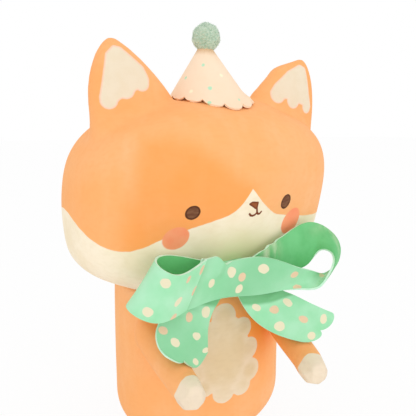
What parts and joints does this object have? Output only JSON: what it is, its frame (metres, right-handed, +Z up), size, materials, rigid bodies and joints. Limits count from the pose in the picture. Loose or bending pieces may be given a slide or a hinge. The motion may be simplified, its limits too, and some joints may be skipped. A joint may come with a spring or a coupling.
{
  "type": "fox figurine",
  "caption": "Hand-made paper-clay fox figurine with a wide head, small arms, a dotted paper bow at the neck and a scalloped paper party hat with a felt pom-pom.",
  "frame": {"origin": "middle of the flat underside that the fox stands on", "axes": "+Z up, -Y the way the body faces, +X to the fox's left; the head is turned 10 degrees towards +X"},
  "size_m": [0.1503, 0.1524, 0.2263],
  "materials": {
    "clay_orange": "matte hand-painted paper clay",
    "bow_paper": "matte painted stiff paper with dots",
    "hat_paper": "matte painted paper with dots",
    "felt_mint": "felted wool",
    "card_core": "packed card",
    "plywood": "bare",
    "wire_steel": "galvanised"
  },
  "bodies": {
    "root": {"base_disc": "plywood", "body_core": "card_core", "body_skin": "clay_orange", "neck_dowel": "plywood", "head_core": "card_core", "head_skin": "clay_orange", "ear_right": "clay_orange", "ear_left": "clay_orange", "ear_pin_right": "plywood", "ear_pin_left": "plywood", "arm_right": "clay_orange", "arm_left": "clay_orange", "arm_wire_right": "wire_steel", "arm_wire_left": "wire_steel", "tail": "clay_orange", "tail_wire": "wire_steel", "bow_loop_right": "bow_paper", "bow_loop_left": "bow_paper", "bow_knot": "bow_paper", "bow_tail_right": "bow_paper", "bow_tail_left": "bow_paper", "hat_cone": "hat_paper", "hat_pompom": "felt_mint"}
  },
  "joints": []
}
